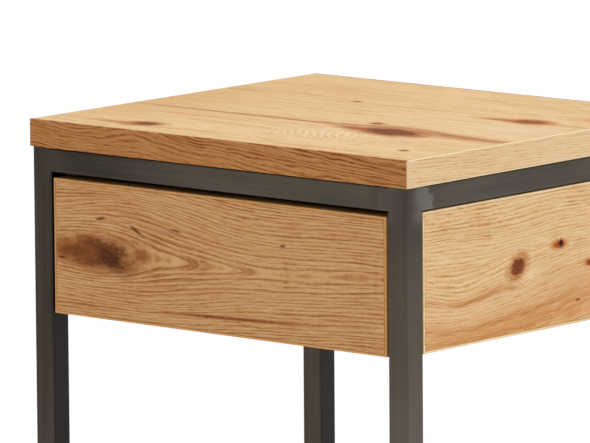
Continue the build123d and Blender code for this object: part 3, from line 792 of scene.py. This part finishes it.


def tube_steel(name, along, stretch, rise=PAINTED_LIGHT_RISE, lift=0.0):
    """Raw steel tube under clear lacquer: dark, warm grey-brown, satin, with soft rolling streaks along it.

    along is 0, 1 or 2 for a tube along x, y or z, and stretch is the length of its streaks in millimetres.
    rise is how much the tone rises for each millimetre to the right, which is painted light, and lift how
    much brighter all of it is.
    """
    material, tree, surface = new_material(name)
    point = place_in_mm(tree)
    place = add(tree, SPLIT, {0: point}).outputs
    cloud = streaks(tree, point, along_axis(along, stretch * 0.8, CLOUD_WIDTH), 2.0, 0.55)
    rolled = streaks(tree, point, along_axis(along, stretch, ROLLED_WIDTH), 3.0, 0.55)
    scratch = streaks(tree, point, along_axis(along, stretch * 0.3, SCRATCH_WIDTH), 1.0, 0.55)

    # Painted light: the frame's tone rises to the right, towards the side light, and its legs are lighter
    # lower down, more so on the right.
    down = add(tree, MATH, {0: RAIL_LOW.z / MM, 1: place["Z"]}, operation="SUBTRACT")
    down = {"Value": down, "From Max": LOW_LEG_LIGHT_LENGTH, "To Max": LOW_LEG_LIGHT_LENGTH * LOW_LEG_LIGHT_RISE}
    right = LEG_LOW.x / MM
    rightward = {"Value": place["X"], **span((-right, right)), "To Min": LOW_LEG_LIGHT_LEFT}
    low_leg_light = product(tree, add(tree, RANGE, down), add(tree, RANGE, rightward))
    noise = ((cloud, CLOUD_SHARE), (rolled, ROLLED_SHARE), (scratch, SCRATCH_SHARE))
    tone = weighted_sum(tree, low_leg_light, *noise, (place["X"], rise))
    lit_tone = add(tree, MATH, {0: tone, 1: lift + TONE_SHIFT}, operation="ADD")

    # Across each joint the grinder evened out the tones of leg and rail.
    seam = (LEG_LOW.x / MM, abs(LEG_HIGH.y) / MM, (RAIL_LOW.z + RAIL_HIGH.z) / 2 / MM)
    size = add(tree, VECTOR, {0: point}, operation="ABSOLUTE")
    inward = add(tree, SPLIT, {0: add(tree, VECTOR, {0: seam, 1: size}, operation="SUBTRACT")}).outputs
    past_leg = add(tree, MATH, {0: inward["X"], 1: inward["Y"]}, operation="MAXIMUM")
    joint = 1.0
    for distance, edge in ((past_leg, EVENED_ACROSS), (inward["Z"], EVENED_DOWN)):
        distance = add(tree, MATH, {0: distance}, operation="ABSOLUTE")
        near = add(tree, RANGE, {"Value": distance, **span(edge), **FALLING}, **SMOOTH)
        joint = product(tree, near, joint)
    evened = weighted_sum(tree, JOINT_TONE, (place["X"], JOINT_LIGHT_RISE))
    ramp = add(tree, RAMP, {"Fac": add(tree, MIX, {"Factor": joint, "A": lit_tone, "B": evened})})
    set_stops(ramp, (0.2, STEEL_DARK), (0.85, STEEL_PALE))

    # Where a rail meets its leg the weld was ground flush, which left a slanting patch of paler bare metal.
    ragged = streaks(tree, point, RAGGED_GRAIN, 4.0)
    past_leg = weighted_sum(tree, past_leg, (ragged, -RAGGED_DEPTH))
    past_leg = add(tree, MATH, {0: past_leg, 1: RAGGED_DEPTH / 2}, operation="ADD")
    slanted = weighted_sum(tree, past_leg, (inward["Z"], -PATCH_SLANT))
    ground = add(tree, RANGE, {"Value": past_leg, **span(PATCH_RISE)}, **SMOOTH)
    for distance, edge in ((slanted, PATCH_FALL), (inward["Z"], PATCH_DOWN)):
        edge = add(tree, RANGE, {"Value": distance, **span(edge), **FALLING}, **SMOOTH)
        ground = product(tree, ground, edge)
    side = {"Value": inward["X"], **span(SIDE_FACE), "To Min": 1.0, "To Max": FRONT_PATCH}
    finer = {"Value": place["X"], **span(POLISHED), "To Min": LEFT_PATCH, "To Max": PATCH_STRENGTH}
    ground = product(tree, ground, add(tree, RANGE, side), add(tree, RANGE, finer))
    shade = add(tree, MIX, {"Factor": ground, "A": ramp, "B": colour(STEEL_GROUND)}, data_type="RGBA")
    if along == 2:
        # Each leg's seam side is turned inwards. Painted shade: those inward faces are darkened to
        # blue-black, for the shade under the table.
        inner = add(tree, RANGE, {"Value": inward["X"], **span(SHADED_INNER_FACE), "To Max": 0.85})
        shade = add(tree, MIX, {"Factor": inner, "A": shade, "B": colour(PAINTED_INNER_SHADE)}, data_type="RGBA")
    gloss = add(tree, RANGE, {"Value": tone, "From Min": 0.4, "From Max": 0.9, "To Min": 0.38, "To Max": 0.5})
    relief = add(tree, BUMP, {"Strength": 0.25, "Distance": 0.05 * MM, "Height": scratch})
    fill(tree, surface, {"Base Color": shade, "Metallic": 0.9, "Roughness": gloss, "Normal": relief})
    return material


def dress_frame():
    legs = tube_steel("Lacquered raw steel, legs", along=2, stretch=240.0)
    dress(legs, *[f"leg_{end}_{side}" for end in ENDS for side in SIDES])
    # Painted light: the front and back rails grow lighter to the right faster than the rest of the frame.
    name = "Lacquered raw steel, front and back rails"
    dress(tube_steel(name, along=0, stretch=240.0, rise=0.0011, lift=0.08), "rail_front", "rail_back")
    name = "Lacquered raw steel, side rails"
    dress(tube_steel(name, along=1, stretch=240.0, lift=0.16), "rail_left", "rail_right")
    dress(tube_steel("Lacquered raw steel, flat", along=0, stretch=60.0), "corner_plates", "hanger_tabs")


# ---- welds

BEAD_RADIUS = 2.0 * MM
BEAD_PITCH = 1.7 * MM
BEAD_FLATNESS = 0.62  # a ripple's height over its width
BEAD_LEAN = 0.6  # how far each ripple leans over the last, in radians
BEAD_END = 4.0 * MM  # a bead stops this far short of a corner
HEAT_GRAIN = (9.0,) * 3
BEAD_GRIT = (0.7,) * 3


def weld_steel():
    """Weld bead of mild steel under clear lacquer: grey, satin, its ripples heat-tinted straw and blue."""
    material, tree, surface = new_material("Lacquered weld bead")
    point = place_in_mm(tree)
    heat = add(tree, RAMP, {"Fac": streaks(tree, point, HEAT_GRAIN, 2.0)})
    set_stops(heat, (0.3, "#45474f"), (0.5, "#5a554e"), (0.7, "#6b5638"))
    grit = streaks(tree, point, BEAD_GRIT, 2.0)
    gloss = add(tree, RANGE, {"Value": grit, **NOISE_SPAN, "To Min": 0.3, "To Max": 0.5})
    fill(tree, surface, {"Base Color": heat, "Metallic": 0.9, "Roughness": gloss})
    return material


def solid_boxes(name):
    """The lowest and highest corner of each separate solid in a CAD node."""
    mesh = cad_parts[name].data
    leader = {}

    def lead(key):
        while leader[key] != key:
            key = leader[key]
        return key

    keys = [tuple(round(value, 5) for value in vertex.co) for vertex in mesh.vertices]
    for key in keys:
        leader[key] = key
    for face in mesh.polygons:
        first, *others = [keys[index] for index in face.vertices]
        for other in others:
            leader[lead(other)] = lead(first)
    solids = {}
    for key in set(keys):
        solids.setdefault(lead(key), []).append(key)
    return [
        (Vector(map(min, zip(*corners))), Vector(map(max, zip(*corners))))
        for corners in sorted(solids.values(), key=min)
    ]


def bead_tree():
    """Geometry nodes that lay overlapping ripples along each edge of a mesh."""
    tree = bpy.data.node_groups.new("Weld bead", "GeometryNodeTree")
    inputs = {"Geometry": "Geometry", "Radius": "Float", "Pitch": "Float", "Finish": "Material"}
    for label, kind in inputs.items():
        tree.interface.new_socket(label, in_out="INPUT", socket_type=f"NodeSocket{kind}")
    tree.interface.new_socket("Geometry", in_out="OUTPUT", socket_type="NodeSocketGeometry")
    given = add(tree, "NodeGroupInput").outputs
    line = add(tree, "GeometryNodeMeshToCurve", {"Mesh": given["Geometry"]})
    points = add(tree, "GeometryNodeCurveToPoints", {"Curve": line, "Length": given["Pitch"]}, mode="LENGTH")
    ripple = add(tree, "GeometryNodeMeshUVSphere", {"Segments": 8, "Rings": 6, "Radius": given["Radius"]})
    flat = add(tree, "GeometryNodeTransform", {"Geometry": ripple, "Scale": (1.0, 1.0, BEAD_FLATNESS)})
    index = add(tree, "GeometryNodeInputIndex")
    uneven = {"Min": 0.88, "Max": 1.06, "ID": index, "Seed": 7}
    uneven = add(tree, "FunctionNodeRandomValue", uneven, data_type="FLOAT")
    lean = {"Rotation": points.outputs["Rotation"], "Rotate By": (BEAD_LEAN, 0.0, 0.0)}
    lean = add(tree, "FunctionNodeRotateRotation", lean, rotation_space="LOCAL")
    laid = {"Points": points.outputs["Points"], "Instance": flat, "Rotation": lean, "Scale": uneven}
    laid = add(tree, "GeometryNodeInstanceOnPoints", laid)
    real = add(tree, "GeometryNodeRealizeInstances", {"Geometry": laid})
    dressed = add(tree, "GeometryNodeSetMaterial", {"Geometry": real, "Material": given["Finish"]})
    add(tree, "NodeGroupOutput", {"Geometry": dressed})
    return tree


def bead_lines():
    """Where beads run: up inside each leg joint, under the corner plates and beside the hanger tabs."""
    inner_x = LEG_LOW.x
    inner_y = abs(LEG_HIGH.y)
    bottom = RAIL_LOW.z + BEAD_END / 2
    lines = []
    for low, high in solid_boxes("corner_plates"):
        side = 1 if high.x > 0 else -1
        end = 1 if high.y > 0 else -1
        corner = Vector((side * inner_x, end * inner_y, low.z))
        lines.append((Vector((corner.x, corner.y, bottom)), corner))
        for along in (Vector((-side * (high.x - low.x), 0, 0)), Vector((0, -end * (high.y - low.y), 0))):
            gap = along.normalized() * BEAD_END
            lines.append((corner + gap, corner + along - gap))
    for low, high in solid_boxes("hanger_tabs"):
        if high.x - low.x < high.y - low.y:
            face = math.copysign(inner_x, low.x)
            feet = [(face, low.y), (face, high.y)]
        else:
            face = math.copysign(inner_y, low.y)
            feet = [(low.x, face), (high.x, face)]
        for x, y in feet:
            lines.append((Vector((x, y, bottom)), Vector((x, y, high.z))))
    return lines


def lay_welds():
    """The beads that weren't ground away: all of them are inside the frame."""
    mesh = bpy.data.meshes.new("weld_lines")
    points = [point for line in bead_lines() for point in line]
    mesh.from_pydata(points, [(i, i + 1) for i in range(0, len(points), 2)], [])
    guide = new_object("weld_lines", mesh)
    tree = bead_tree()
    modifier = guide.modifiers.new("Weld bead", "NODES")
    modifier.node_group = tree
    values = {"Radius": BEAD_RADIUS, "Pitch": BEAD_PITCH, "Finish": weld_steel()}
    for item in tree.interface.items_tree:
        if item.in_out == "INPUT" and item.name in values:
            modifier[item.identifier] = values[item.name]
    view = bpy.context.evaluated_depsgraph_get()
    beads = bpy.data.meshes.new_from_object(guide.evaluated_get(view), depsgraph=view)
    bpy.data.objects.remove(guide)
    for face in beads.polygons:
        face.use_smooth = True
    piece = new_object("weld_beads", beads)
    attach(piece, "carcass")


# ---- drawer box, slides and small parts

PLY = 1.3  # the thickness of birch plywood's plies, in millimetres
BIRCH_FLECK = (7.0, 0.9)  # (length, width): real flecks are 0.3 mm wide, and they are drawn 0.9 mm wide
BIRCH_CLOUD = (260.0, 30.0)  # (length, width) of paler and darker areas
BIRCH_FIGURE = (90.0, 2.6)  # (length, width) of its faint figure
BEECH_FLECK = (1.5,) * 3
DRAWN_METAL = (0.6, 40.0, 0.6)  # real drawing lines are 0.1 mm wide, and they are drawn 0.6 mm wide
PLASTIC_GRIT = (0.8,) * 3  # real spark-eroded texture is 0.2 mm across, and it is drawn 0.8 mm


def drawer_birch(board, thin, along):
    """Oiled birch plywood: pale, even, with short fine flecks, and edges where the crossed plies show brown.

    thin and along are 0, 1 or 2: the axis of the board's thickness and the axis of its face grain.
    """
    material, tree, surface = new_material("Birch plywood, " + board.replace("_", " "))
    low, high = ((corner / MM)[thin] for corner in corners(board))
    point = place_in_mm(tree)
    fleck = streaks(tree, point, along_axis(along, *BIRCH_FLECK), 1.0)
    fleck = add(tree, RANGE, {"Value": fleck, "From Min": 0.62, "From Max": 0.8})
    cloud = streaks(tree, point, along_axis(along, *BIRCH_CLOUD), 1.0)
    birch_figure = streaks(tree, point, along_axis(along, *BIRCH_FIGURE), 3.0)
    plies = round((high - low) / PLY) // 2 * 2 + 1
    depth = add(tree, MATH, {0: add(tree, SPLIT, {0: point}).outputs[thin], 1: low}, operation="SUBTRACT")
    layer = add(tree, MATH, {0: product(tree, depth, plies / (high - low) / 2)}, operation="FRACT")
    crossed = add(tree, RANGE, {"Value": layer, "From Min": 0.5, "From Max": 0.56, "To Max": 0.35})
    tone = weighted_sum(tree, crossed, (cloud, 0.4), (birch_figure, 0.6), (fleck, 0.35))
    ramp = add(tree, RAMP, {"Fac": tone})
    set_stops(ramp, (0.3, "#ecd5ae"), (0.85, "#c99c69"))
    fill(tree, surface, {"Base Color": ramp, "IOR": 1.5, "Roughness": 0.55, "Specular IOR Level": 0.3})
    return material


def beech():
    """Beech dowels, fluted and dry: pinkish tan, matte, with fine dark flecks."""
    material, tree, surface = new_material("Beech dowel")
    ramp = add(tree, RAMP, {"Fac": streaks(tree, place_in_mm(tree), BEECH_FLECK, 2.0)})
    set_stops(ramp, (0.35, "#d9ad82"), (0.75, "#b98358"))
    fill(tree, surface, {"Base Color": ramp, "Roughness": 0.7})
    return material


def plated(name, pale, dark, grain, roughness, relief_depth):
    """Plated or rolled bright metal: a soft mottle whose grains are this many millimetres across."""
    material, tree, surface = new_material(name)
    point = place_in_mm(tree)
    drawn = streaks(tree, point, DRAWN_METAL, 1.0)
    tone = weighted_sum(tree, streaks(tree, point, (grain,) * 3, 3.0), (drawn, 0.4))
    ramp = add(tree, RAMP, {"Fac": tone})
    set_stops(ramp, (0.45, dark), (0.95, pale))
    low, high = roughness
    gloss = add(tree, RANGE, {"Value": tone, "From Min": 0.4, "From Max": 1.0, "To Min": low, "To Max": high})
    relief = add(tree, BUMP, {"Strength": 0.3, "Distance": relief_depth * MM, "Height": drawn})
    fill(tree, surface, {"Base Color": ramp, "Metallic": 1.0, "Roughness": gloss, "Normal": relief})
    return material


def glide_plastic():
    """Moulded black polypropylene: dull, slightly waxy, with a fine spark-eroded texture."""
    material, tree, surface = new_material("Moulded polypropylene")
    grit = streaks(tree, place_in_mm(tree), PLASTIC_GRIT, 2.0)
    ramp = add(tree, RAMP, {"Fac": grit})
    set_stops(ramp, (0.3, "#1d1d1e"), (0.8, "#2c2c2d"))
    relief = add(tree, BUMP, {"Strength": 0.4, "Distance": 0.08 * MM, "Height": grit})
    fill(tree, surface, {"Base Color": ramp, "IOR": 1.49, "Roughness": 0.5, "Normal": relief})
    return material


def dress_small_parts():
    for board, thin, along in (
        ("drawer_side_left", 0, 1),
        ("drawer_side_right", 0, 1),
        ("drawer_inner_front", 1, 0),
        ("drawer_back", 1, 0),
        ("drawer_floor", 2, 0),
    ):
        dress(drawer_birch(board, thin, along), board)
    dress(beech(), "carcass_dowels", "drawer_dowels")
    zinc = plated("Zinc-plated steel, slides", "#d4d6d8", "#a8acb0", 6.0, (0.24, 0.38), 0.02)
    members = ("cabinet_member", "middle_member", "drawer_member")
    dress(zinc, *[f"slide_{member}_{side}" for member in members for side in SIDES])
    cage = plated("Cold-rolled steel, cages", "#b4b3b0", "#85847f", 3.0, (0.3, 0.45), 0.02)
    dress(cage, *[f"slide_{layer}_cage_{side}" for layer in ("outer", "inner") for side in SIDES])
    ball = plated("Polished bearing steel, balls", "#dcdcdc", "#b8b8b8", 8.0, (0.07, 0.12), 0.002)
    dress(ball, *[f"slide_{layer}_balls_{side}" for layer in ("outer", "inner") for side in SIDES])
    screw = plated("Zinc-plated steel, screws", "#c9ccd0", "#8e9196", 1.2, (0.28, 0.42), 0.02)
    dress(screw, "top_screws", "hanger_screws", "drawer_front_screws")
    dress(screw, *[f"slide_{where}_screws_{side}" for where in ("cabinet", "drawer") for side in SIDES])
    dress(glide_plastic(), *[f"foot_glide_{end}_{side}" for end in ENDS for side in SIDES])


# ---- camera, light and floor

SENSOR_WIDTH = 36.0
CLIP_END = 500.0
FLOOR_REACH = 40.0


def look(position, azimuth, elevation, roll, lens):
    """The camera. Azimuth is its turn to the right of the front view, elevation how far it looks down."""
    camera = new_object("Camera", bpy.data.cameras.new("Camera"))
    turn = (
        Matrix.Rotation(math.radians(azimuth), 4, "Z")
        @ Matrix.Rotation(math.radians(90 - elevation), 4, "X")
        @ Matrix.Rotation(math.radians(roll), 4, "Z")
    )
    camera.matrix_world = Matrix.Translation(position) @ turn
    camera.data.lens = lens
    camera.data.sensor_width = SENSOR_WIDTH
    camera.data.clip_end = CLIP_END
    bpy.context.scene.camera = camera


def soft_light(name, azimuth, elevation, spread, strength, tint):
    """A far softbox that lights everything alike. Angles are degrees, and azimuth runs from +X towards +Y."""
    lamp = bpy.data.lights.new(name, "SUN")
    lamp.color = colour(tint)[:3]
    lamp.angle = math.radians(spread)
    lamp.energy = strength
    turn, rise = math.radians(azimuth), math.radians(elevation)
    source = Vector((math.cos(rise) * math.cos(turn), math.cos(rise) * math.sin(turn), math.sin(rise)))
    new_object(name, lamp).matrix_world = source.to_track_quat("Z", "Y").to_matrix().to_4x4()


def light_studio():
    """White walls, a wide light overhead, and a slightly cooler softbox to the right and a little behind."""
    scene = bpy.context.scene
    scene.view_settings.view_transform = "Standard"
    world = bpy.data.worlds.new("Studio")
    world.use_nodes = True
    scene.world = world
    tree = world.node_tree
    tree.nodes.clear()
    sky = add(tree, "ShaderNodeBackground", {"Color": colour("#ffffff"), "Strength": 0.5})
    add(tree, "ShaderNodeOutputWorld", {"Surface": sky})
    soft_light("Overhead light", azimuth=60.0, elevation=70.0, spread=80.0, strength=1.28, tint="#fafcff")
    soft_light("Side light", azimuth=20.0, elevation=35.0, spread=50.0, strength=0.99, tint="#e9eeff")


def lay_floor():
    """White background paper, wide enough to fill the view behind the table: matte and even."""
    far = FLOOR_REACH
    mesh = bpy.data.meshes.new("Floor")
    mesh.from_pydata([(-far, -far, 0), (far, -far, 0), (far, far, 0), (-far, far, 0)], [], [(0, 1, 2, 3)])
    floor = new_object("Floor", mesh)
    material, tree, surface = new_material("Floor paper")
    fill(tree, surface, {"Base Color": colour("#ffffff"), "Roughness": 0.9, "Specular IOR Level": 0.0})
    mesh.materials.append(material)


dress_boards()
dress_edging()
dress_frame()
dress_small_parts()
lay_welds()
look(
    position=(4.7178, -5.6012, TOP_Z + 0.9997),
    azimuth=40.625,
    elevation=8.612,
    roll=-0.427,
    lens=441.7,
)
light_studio()
lay_floor()
